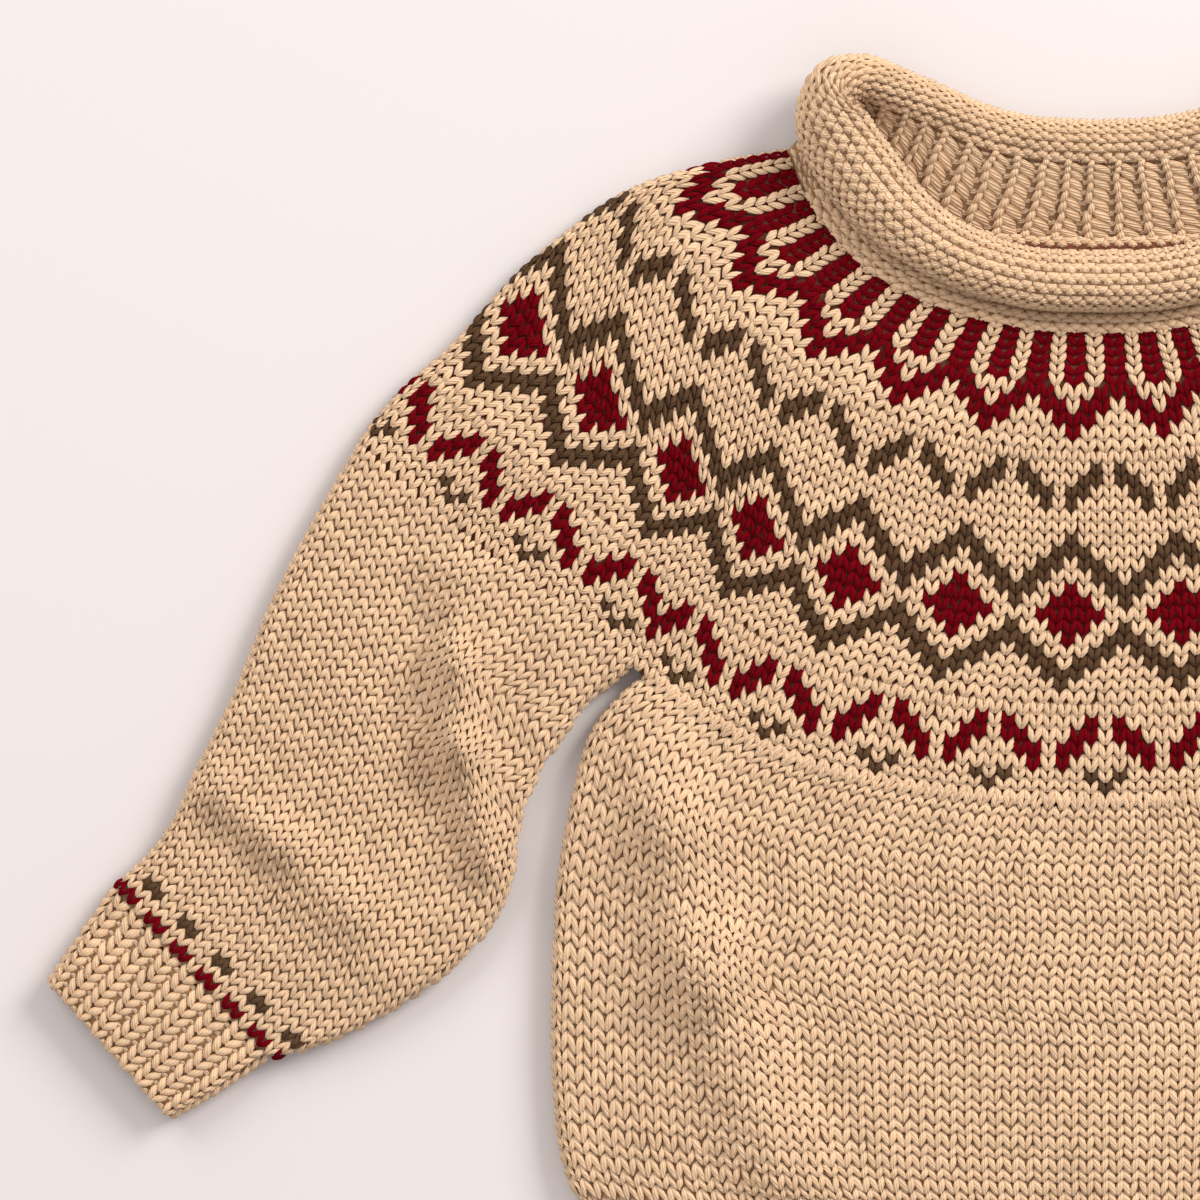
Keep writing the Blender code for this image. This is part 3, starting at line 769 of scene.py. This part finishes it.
def lay(name, stitch, cloth, to_cloth, columns, rows, colours, width=1.0, sink=0.0):
    """Copies of a stitch on a cloth, each at its column and row, or deeper by sink mm."""
    count = len(columns)
    source = add_object(name + "_source", stitch)
    copies = source.modifiers.new("copies", "ARRAY")
    copies.count = count
    copies.use_relative_offset = False
    ready = source.evaluated_get(bpy.context.evaluated_depsgraph_get())
    mesh = bpy.data.meshes.new_from_object(ready)
    bpy.data.objects.remove(source)
    mesh.name = name
    place = np.empty(len(mesh.vertices) * 3, dtype=np.float32)
    mesh.vertices.foreach_get("co", place)
    place = place.reshape(count, -1, 3).astype(float)
    size = (1 + chance.normal(0, SIZES, (count, 1))) * np.reshape(width, (-1, 1))
    column = np.asarray(columns, float)[:, None] + chance.normal(0, WANDER, (count, 1))
    row = np.asarray(rows, float)[:, None] + chance.normal(0, WANDER, (count, 1))
    deeper = np.abs(chance.normal(0, DEPTHS, (count, 1)))
    w, v = to_cloth(column + place[..., 0] * size, row + place[..., 1])
    place = cloth.at(w, v, place[..., 2] - deeper - np.reshape(sink, (-1, 1)))
    z = place[..., 2]  # strands that rest on the floor are pressed flatter
    place[..., 2] = np.where(z < LOW * MM, RAISED * MM + (z + LOWEST * MM) * PRESS, z)
    mesh.vertices.foreach_set("co", place.reshape(-1).astype(np.float32))
    tone = np.asarray(colours, float) * (1 + chance.normal(0, TONES, (count, 1)))
    tone = np.concatenate([tone, np.ones((count, 1))], axis=1)
    paint = mesh.attributes.new("yarn", "FLOAT_COLOR", "POINT")
    each = len(mesh.vertices) // count
    paint.data.foreach_set("color", np.repeat(tone, each, axis=0).reshape(-1).astype(np.float32))
    mesh.materials.clear()
    mesh.materials.append(yarn)
    mesh.update()
    piece = add_object(name, mesh)
    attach(piece, "root")
    print(name + ":", count, "stitches")
    return piece


def line_cloth(name, cloth, part, across, along,
               under=1.95, wall=1.3, ends=(0, 1), material=lining, flip=False):
    """The plain cloth under the stitches: a grid bent round the laid surface, with a wall."""
    shape = bmesh.new()
    bmesh.ops.create_grid(shape, x_segments=len(across), y_segments=along, size=0.5)
    round_ = np.append(across, across[0] + 4)
    for vert in shape.verts:
        w = round_[int(round((vert.co.x + 0.5) * len(across)))]
        v = ends[0] + (0.5 - vert.co.y) * (ends[1] - ends[0])
        vert.co = cloth.at(np.array(w), np.array(v), np.array(-under))
    bmesh.ops.remove_doubles(shape, verts=shape.verts, dist=1e-6)
    if flip:  # the neck's cloths run the other way
        bmesh.ops.reverse_faces(shape, faces=shape.faces)
    for face in shape.faces:
        face.smooth = True
    mesh = as_mesh(name, shape)
    mesh.materials.append(material)
    piece = add_object(name, mesh)
    solid = piece.modifiers.new("wall", "SOLIDIFY")
    solid.thickness = wall * MM
    solid.offset = -1
    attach(piece, "root")
    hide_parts(part)
    return piece


def round_steps(cloth, step=5.0):
    """Places round a flattened tube, closer together at its folds."""
    half = cloth.round_length(0.5) / 2
    places = [0, 0.8, 2.4, 4.2, 6.4, 9.0]
    while places[-1] < half / 2 - step:
        places.append(places[-1] + step)
    quarter = np.append(np.array(places) / half * 2, 1.0)
    side = np.concatenate([quarter, 2 - quarter[::-1][1:-1], [2.0]])
    return np.concatenate([side[:-1], side[:-1] + 2])


def every(columns, rows):
    """Column and row of each stitch where all these columns and rows cross."""
    return (a.ravel() for a in np.meshgrid(columns, rows, indexing="ij"))


def evenly(stitches, down):
    """Evenly spaced columns round a cloth; down turns a row into v."""
    return lambda column, row: (column / stitches * 4, down(row))


print("steps round the body's plain cloth:", len(round_steps(body_cloth)))

# %% [markdown]
# ## Body
# Plain knitting: 148 stitches round and 38 rows, counted up from the hem rib. The first row lies
# deeper, where the rib joins, and the last one reaches up under the yoke, so that no gap shows.
# Every second row is a little taller, as a knitter's purl and knit rows differ.

# %% Body stitches
BODY_STITCHES, BODY_ROWS = 148, 38
FIRST_ROW, UNDER_YOKE, UNEVEN = 0.54, 0.26, 0.09  # all in rows


def body_v(row):
    sway = UNEVEN * np.sin(np.pi * (row + 0.5))
    return 1 - (row + FIRST_ROW + sway) / (BODY_ROWS - UNDER_YOKE)


body_lining = line_cloth("body_cloth", body_cloth, "body",
                         round_steps(body_cloth), 30)
column, row = every(np.arange(BODY_STITCHES) + 0.24, np.arange(BODY_ROWS))
front = column < BODY_STITCHES / 2
body_pieces = [
    lay(name, knit_stitch, body_cloth, evenly(BODY_STITCHES, body_v), column[part], row[part],
        BEIGE, sink=0.8 * (row[part] == 0))
    for name, part in (("body_front_stitches", front), ("body_back_stitches", ~front))
]

# %% [markdown]
# ## The yoke's pattern
# Stranded patterns are charts: each square is one stitch. This one is a traditional kind, drawn
# here with rules instead of a picture. From the join upwards it has small stepped triangles, a
# band of diamonds, a round of chevrons, and then narrow peaks that run up to the neck as stripes.
# It repeats 28 times, with 8 stitches a repeat at first, 6 and then 4 as the yoke gets narrower.

# %% Chart
REPEATS = 28
HALF = REPEATS // 2  # repeats from the middle of the front to the middle of the back


def chart(row, rho):
    """Yarn of a stitch; rho counts repeats round, with a triangle at each whole number."""
    to_triangle = abs(rho - round(rho))  # 0 to 0.5 repeat
    if row <= 8:
        k = round(to_triangle * 8)
        olive = {1: (0,), 2: (1,)}
        red = {3: (3,), 4: (2, 3), 5: (1, 2), 6: (1,)}
        return OLIVE if k in olive.get(row, ()) else RED if k in red.get(row, ()) else BEIGE
    if row <= 21:
        d = round((0.5 - to_triangle) * 8)
        if row in (9 + d, 10 + d, 20 - d, 21 - d):
            return OLIVE
        return RED if abs(row - 15) + d <= 2 else BEIGE
    if 24 <= row <= 27:
        gap = rho - 0.5 - 1 / 8  # the chevrons stand one stitch to the left
        n = round(abs(gap - round(gap)) * 8)
        return OLIVE if n in (1, 2, 3) and row in (23 + n, 24 + n) else BEIGE
    if 30 <= row <= 33:
        e = round((0.5 - to_triangle) * 6)
        return RED if row in (30 + e, 31 + e) else BEIGE
    if row >= 34:
        quarter = round(to_triangle * 4)
        return RED if quarter in (0, 2) else BEIGE
    return BEIGE


marks = {BEIGE: ".", OLIVE: "o", RED: "x"}
for row in (1, 5, 15, 25, 31):
    print(f"row {row:2}", "".join(marks[chart(row, c / 8)] for c in range(-8, 17)))

# %% [markdown]
# The rounds of a yoke aren't spread evenly over the laid front: the sleeves' share of the joining
# round is bunched at the underarm, and the neck is wider at the back. These tables say where, as
# a fraction from the middle of the front to the fold, each repeat lies.

# %% Places of the yoke's stitches
ROW_PLACES = [  # v of each row
    (-1.5, 1.031), (-0.5, 1.004), (0.5, 0.978), (2.5, 0.9375), (6.15, 0.8363), (8.5, 0.775),
    (13, 0.674), (20, 0.494), (24, 0.396), (30, 0.242), (34, 0.115), (39, 0.0025),
]
MIDDLE = [(7.2, 0.05), (8.2, 0.155), (15, 0.2375), (30, 0.206), (36, 0.19)]  # rho there, by row
FOLD = [(7, 7.1), (8, 6.76), (15, 6.76), (30, 5.99), (36, 5.95)]  # repeats to the fold, by row
JOIN_BODY = [(0, 0), (0.95, 0.131), (1.95, 0.264), (2.95, 0.402), (3.95, 0.526), (4.33, 0.5725),
             (4.6, 0.605)]
JOIN_SLEEVE = [(3.35, 0.5385), (3.6, 0.5715), (3.95, 0.618), (4.95, 0.752), (5.95, 0.862),
               (6.95, 0.983), (7.1, 1)]
CHEST = [(0, 0), (0.2625, 0.0396), (1.2625, 0.198), (2.2625, 0.356), (3.2625, 0.499),
         (4.2625, 0.625), (5.2625, 0.774), (6.2625, 0.925), (6.76, 1)]
COLLAR = [(0, 0), (0.294, 0.05), (1.294, 0.2125), (2.294, 0.38), (3.294, 0.555), (4.294, 0.74),
          (5.294, 0.915), (5.99, 1)]
NECK = [(0, 0), (0.31, 0.0575), (0.81, 0.135), (1.31, 0.2175), (1.81, 0.3025), (2.31, 0.395),
        (2.81, 0.475), (3.31, 0.5625), (4.31, 0.735), (5.31, 0.905), (5.95, 1)]


def by(table, x):
    """A table's value at x."""
    xs, ys = np.array(table, float).T
    return np.interp(x, xs, ys)


def stretched(table, g):
    """A table's fraction, going on past its end."""
    return by(table, g) + np.maximum(0, g - table[-1][0]) * 0.15


BODY_SIDE, SLEEVE_SIDE = 4.33, 3.6  # repeats from the middle to the underarm, on each of them


def on_front(g, row, sleeve, foot):
    low = np.where(sleeve, stretched(JOIN_SLEEVE, g), stretched(JOIN_BODY, g))
    tables = (stretched(table, g) for table in (CHEST, COLLAR, NECK))
    return low if foot else between_rows(row, *tables)


def on_back(h, row, sleeve, foot):
    low = np.where(sleeve, JOIN_BODY[-2][1] + (h - SLEEVE_SIDE) * 0.132, 0.13 * h)
    tables = (h / (HALF - table[-1][0]) for table in (CHEST, COLLAR, NECK))
    return low if foot else between_rows(row, *tables)


def between_rows(row, chest, collar, neck):
    """A value between those for rows 15, 30 and 36."""
    g = np.clip((row - 15) / 15, 0, 1)
    k = np.clip((row - 30) / 6, 0, 1)
    return (chest * (1 - g) + collar * g) * (1 - k) + neck * k


def on_yoke(rho, row, sleeve, back, foot):
    """w and v of a place rho repeats to the left of a triangle's axis near the middle."""
    g = rho - (MIDDLE[0][1] if foot else by(MIDDLE, np.maximum(row, MIDDLE[1][0])))
    w_front = 1 - np.sign(g) * on_front(np.abs(g), row, sleeve, foot)
    share = on_back(HALF - np.abs(g), row, sleeve, foot)
    w_back = np.where(g > 0, -1 + share, -1 - share)
    lower = 0.014 * np.clip((8.5 - row) / 8, 0, 1)  # sleeves begin a little higher up
    return np.where(back, w_back, w_front), by(ROW_PLACES, row) - np.where(sleeve, lower, 0)


print("the yoke's front holds", 2 * FOLD[0][1], "of", REPEATS, "repeats at the join")

# %% Yoke stitches
FOOT_ROW = 7  # up to this row, stitches above the sleeves and the body are laid apart
SPANS = [(0, 7, 8), (8, 28, 8), (29, 33, 6), (34, 39, 4)]  # rows from, to, stitches a repeat
STEPS = (7, 28)  # filling stitches lie between these rows' columns, and deeper
STRIPES, BROAD, NARROW = 34, 1.16, 0.84  # from this row, red columns are broad, beige ones narrow
DEEP_STRIPE, DEEP_FILLING = 0.55, 1.1


def yoke_stitches(first, last, per_repeat):
    """Places rho, row, sleeve, back of the stitches in these rows."""
    found = []
    for row in range(first, last + 1):
        for c in range(-HALF * per_repeat, HALF * per_repeat):
            rho = c / per_repeat
            g = rho - by(MIDDLE, row)
            if g > HALF or g <= -HALF:
                g = (g + HALF) % REPEATS - HALF
            back = abs(g) > by(FOLD, row)
            size = HALF - abs(g) if back else abs(g)
            for sleeve in (False, True):
                if row <= FOOT_ROW:
                    held = size >= SLEEVE_SIDE if sleeve else size <= BODY_SIDE
                else:
                    held = sleeve == (size > 4)
                if held:
                    shifts = (0, 0.5) if row in STEPS else (0,)
                    found += [(rho + shift / per_repeat, row, sleeve, back) for shift in shifts]
    return found


yoke_lining = line_cloth("yoke_cloth", yoke_cloth, "yoke",
                         round_steps(yoke_cloth), 34, ends=(0.005, 1.0), material=floats_in_shade)
for side in (False, True):
    for first, last, per_repeat in SPANS:
        found = [s for s in yoke_stitches(first, last, per_repeat) if s[3] == side]
        rho, row, sleeve, back = (np.array(c) for c in zip(*found))
        colours = np.array([chart(int(r), p) for r, p in zip(row, rho)])
        sleeve, back = sleeve[:, None], back[:, None]

        def to_cloth(column, row):
            return on_yoke(column / per_repeat, row, sleeve, back, last <= FOOT_ROW)

        stripe = (row >= STRIPES) & (colours[:, 0] < BEIGE[0])
        filling = np.isin(row, STEPS) & (rho * per_repeat % 1 > 0.25)
        lay(
            f"yoke_{'back' if side else 'front'}_rows_{first}", knit_stitch, yoke_cloth, to_cloth,
            rho * per_repeat, row - 0.5, colours,
            width=np.where(row < STRIPES, 1.0, np.where(stripe, BROAD, NARROW)),
            sink=DEEP_STRIPE * stripe + DEEP_FILLING * filling)

# %% [markdown]
# ## Sleeves
# The same stitch, a little narrower. A sleeve gets slimmer towards the cuff, and its columns keep
# their width and follow its outer fold, so those that reach the fold under the arm end there.

# %% Sleeve stitches
SLEEVE_ROWS = 45
FIRST_ROW, UNDER_YOKE, FIRST_HIGHER = 0.3, 0.2, 0.35  # two in rows, and one in mm


def sleeve_pitch(v):
    """Width of a column in mm, from the yoke to the cuff."""
    return 4.12 - 0.27 * v


for side, hand in HANDS.items():
    cloth = sleeve_cloth[side]
    found = []
    for row in range(SLEEVE_ROWS):
        v = 1 - (row + 0.5) / SLEEVE_ROWS
        half = cloth.round_length(v) / 2 / sleeve_pitch(v)
        found += [(sign * (c + 0.5), row) for sign in (-1, 1) for c in range(int(half + 0.5))]
    column, row = np.array(found, float).T
    count = np.floor(np.abs(column)).astype(int)
    colours = np.tile(BEIGE, (len(column), 1))  # with two rounds of colour beside the cuff
    colours[(row == 0) & ((count % 3 != 0) | (count == 0))] = RED
    colours[(row == 2) & (count % 4 >= 2)] = OLIVE

    def to_cloth(column, row):
        v = 1 - (row + FIRST_ROW) / (SLEEVE_ROWS - UNDER_YOKE)
        w = column * sleeve_pitch(v) / (cloth.round_length(v) / 2) * 2
        return (w if hand == 1 else 2 - w), v

    name = "sleeve_" + side
    lined = line_cloth(name + "_cloth", cloth, name, round_steps(cloth), 30)
    knitted = lay(name + "_stitches", knit_stitch, cloth, to_cloth, column, row, colours,
                  sink=-FIRST_HIGHER * (row == 0))

# %% [markdown]
# ## Ribs
# A rib is a column of knit stitches that stands up, with a narrow furrow of purl stitches
# between it and the next. The cuffs and the hem share this: full, round Vs on the ribs and small
# bumps down in the furrows.

# %% Rib stitches
RIB_GAUGE = (7.1, 3.6)  # width of a rib with its furrow, and height of a row, in mm
RIB_LEG = [(0.04, 0, -0.5, 0.5), (0.13, 0.31, 0, 1.05), (0.22, 0.65, 0.05, 1.30),
           (0.30, 0.98, -0.35, 1.15), (0.35, 1.34, -1.4, 0.65)]
BUMP = [(-0.19, 0.2, -1.8, 0.8), (0, 0.42, -1.15, 1.2), (0.19, 0.2, -1.8, 0.8)]
rib_stitch = stitch_mesh("rib_stitch", [RIB_LEG, mirror_path(RIB_LEG)], RIB_GAUGE, drop=1.15)
furrow_bump = stitch_mesh("furrow_bump", [BUMP], RIB_GAUGE, along=3, drop=0.8)
RIB_ROWS, RIB_START, RIB_REACH = 10, 1.01, 1.05  # the rows reach from v 1.01 to under 0
# painted shade: the bumps down in the furrows are painted darker than the ribs
FURROW_SHADE = np.array(BEIGE) * 0.92


def rib(name, cloth, ribs, part):
    """Ribs round a cloth, and the furrows between them."""
    to_cloth = evenly(ribs, lambda row: RIB_START - row * RIB_REACH / RIB_ROWS)
    column, row = every(np.arange(ribs), np.arange(RIB_ROWS))
    return (
        line_cloth(name + "_cloth", cloth, part, round_steps(cloth), 8,
                   under=2.0, wall=1.1, ends=(0, 0.985), material=rib_lining),
        lay(name + "_ribs", rib_stitch, cloth, to_cloth, column, row, BEIGE),
        lay(name + "_furrows", furrow_bump, cloth, to_cloth, column + 0.5, row, FURROW_SHADE),
    )


cuffs = {side: rib("cuff_" + side, cuff_cloth[side], 20, "cuff_" + side) for side in HANDS}
hem = rib("hem", hem_cloth, 72, "hem_rib")

# %% [markdown]
# ## Neck
# The neck rib shows its inside at the back: each rib has one slim bright leg and one broad
# one, because the cloth leans. The rolled edge shows the purl side: rows of small arcs, half of
# them like a bowl and half like a bridge. The same arcs cover the yoke's inner face below the
# neck rib, and the few rows over its upper edge that the roll doesn't hide.

# %% Neck rib
NECK_RIBS, NECK_ROWS = 56, 8
NECK_GAUGE, PURL_GAUGE = (7.8, 2.9), (4.3, 3.6)
SLIM_LEG = [(-0.38, 0, -0.5, 0.75), (-0.33, 0.42, 0.4, 1.15), (-0.29, 0.9, 0.3, 1.1),
            (-0.27, 1.32, -0.6, 0.7)]
BROAD_LEG = [(-0.24, 0.46, -0.6, 0.95), (-0.07, 0.18, 0.05, 1.4), (0.14, -0.3, 0, 1.5),
             (0.34, -0.85, -0.9, 1)]
NECK_BUMP = [(-0.17, 0.25, -1.3, 1), (0, -0.05, -0.75, 1.6), (0.17, 0.25, -1.3, 1)]
PURL_OVER = [(-0.46, -0.26, -1.3, 0.7), (-0.27, 0.02, -0.35, 1.05), (0, 0.15, -0.05, 1.2),
             (0.27, 0.02, -0.35, 1.05), (0.46, -0.26, -1.3, 0.7)]
PURL_UNDER = [(-0.34, 0.16, -1.1, 0.7), (-0.18, -0.03, -0.1, 1.15), (0, -0.10, 0.1, 1.3),
              (0.18, -0.03, -0.1, 1.15), (0.34, 0.16, -1.1, 0.7)]
neck_stitch = stitch_mesh("neck_stitch", [BROAD_LEG, SLIM_LEG], NECK_GAUGE, drop=0.95)
neck_bump = stitch_mesh("neck_bump", [NECK_BUMP], NECK_GAUGE, along=3, drop=0.8)
purl_over = stitch_mesh("purl_over", [PURL_OVER], PURL_GAUGE, along=6, drop=0.9)
purl_under = stitch_mesh("purl_under", [PURL_UNDER], PURL_GAUGE, along=6, drop=0.9)

turn_steps = np.linspace(0, 4, 225)[:-1]
neck_lining = line_cloth("neck_rib_cloth", neck_inside, "neck_rib", turn_steps, 10,
                         under=1.5, wall=0.6, ends=(0, 1.1), material=rib_lining, flip=True)
on_neck = evenly(NECK_RIBS, lambda row: row / NECK_ROWS)
column, row = every(np.arange(NECK_RIBS), np.arange(NECK_ROWS + 1))
neck_pieces = [
    lay("neck_rib_stitches", neck_stitch, neck_inside, on_neck, column, row, BEIGE),
    # painted shade: the bumps in the neck rib's furrows are painted darker than its ribs
    lay("neck_rib_furrows", neck_bump, neck_inside, on_neck, column + 0.47, row,
        np.array(BEIGE) * 0.9),
]


def purl(name, cloth, to_cloth, column, row, over=0.0, under=0.5, sink=0.0):
    """Bridges, and bowls half a column further on, each with its own shift along the rows."""
    return [
        lay(name + end, arc, cloth, to_cloth, column + across, row + down, BEIGE, sink=sink)
        for end, arc, across, down in (("_bridges", purl_over, 0, over),
                                       ("_bowls", purl_under, 0.5, under))
    ]


# %% Purl rows beside the neck rib
EDGE_STITCHES, EDGE_ROW = 100, 0.024
yoke_inside = Cloth(yoke_cloth.grid - yoke_cloth.normal * 4.2, normal=-yoke_cloth.normal)
on_foot = evenly(EDGE_STITCHES, lambda row: 0.005 + row * EDGE_ROW)
on_edge = evenly(EDGE_STITCHES, lambda row: -0.004 - row * EDGE_ROW)
column, row = every(np.arange(EDGE_STITCHES * 0.58, EDGE_STITCHES * 0.92), np.arange(4))
ridge = purl("neck_foot", yoke_inside, on_foot, column, row, -0.35, 0.15)
column, row = every(np.arange(EDGE_STITCHES * 0.04, EDGE_STITCHES * 0.46), np.arange(3))
ridge += purl("neck_edge", yoke_cloth, on_edge, column, row, -0.1, 0.4, sink=-0.3)

# %% Rolled edge
ROLL_STITCHES, ROLL_ROWS, STRIP_ROWS = 104, 13, 7
roll_lining = line_cloth("neck_roll_cloth", roll_cloth, "neck_roll", turn_steps, 20,
                         under=1.4, wall=1.4, material=rib_lining, flip=True)
on_roll = evenly(ROLL_STITCHES, lambda row: row / ROLL_ROWS)
column, row = every(np.arange(ROLL_STITCHES), np.arange(ROLL_ROWS) + 0.5)
roll_pieces = purl("neck_roll", roll_cloth, on_roll, column, row)

on_strip = evenly(ROLL_STITCHES, lambda row: row / STRIP_ROWS)
column, row = every(np.arange(ROLL_STITCHES), np.arange(STRIP_ROWS) + 0.5)
shown = (column < ROLL_STITCHES * 0.26) | (column > ROLL_STITCHES * 0.74)
neck_pieces += purl("neck_front", neck_outside, on_strip, column[shown], row[shown])

# %% Sizes of the cloths, worked out and not used
def declare(cloth):
    steps = np.linspace(0, 1, len(cloth.grid))
    across = cloth.round_length(steps) * MM
    length = cloth.length() * MM


declare(yoke_cloth)
declare(body_cloth)
for side in HANDS:
    declare(sleeve_cloth[side])
    declare(cuff_cloth[side])
declare(hem_cloth)
declare(neck_inside)
declare(roll_cloth)

# %% Sizes and finish
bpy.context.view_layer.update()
faces = [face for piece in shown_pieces() if piece.type == "MESH" for face in piece.data.polygons]
print("triangles before the walls are added:", sum(len(face.vertices) - 2 for face in faces))
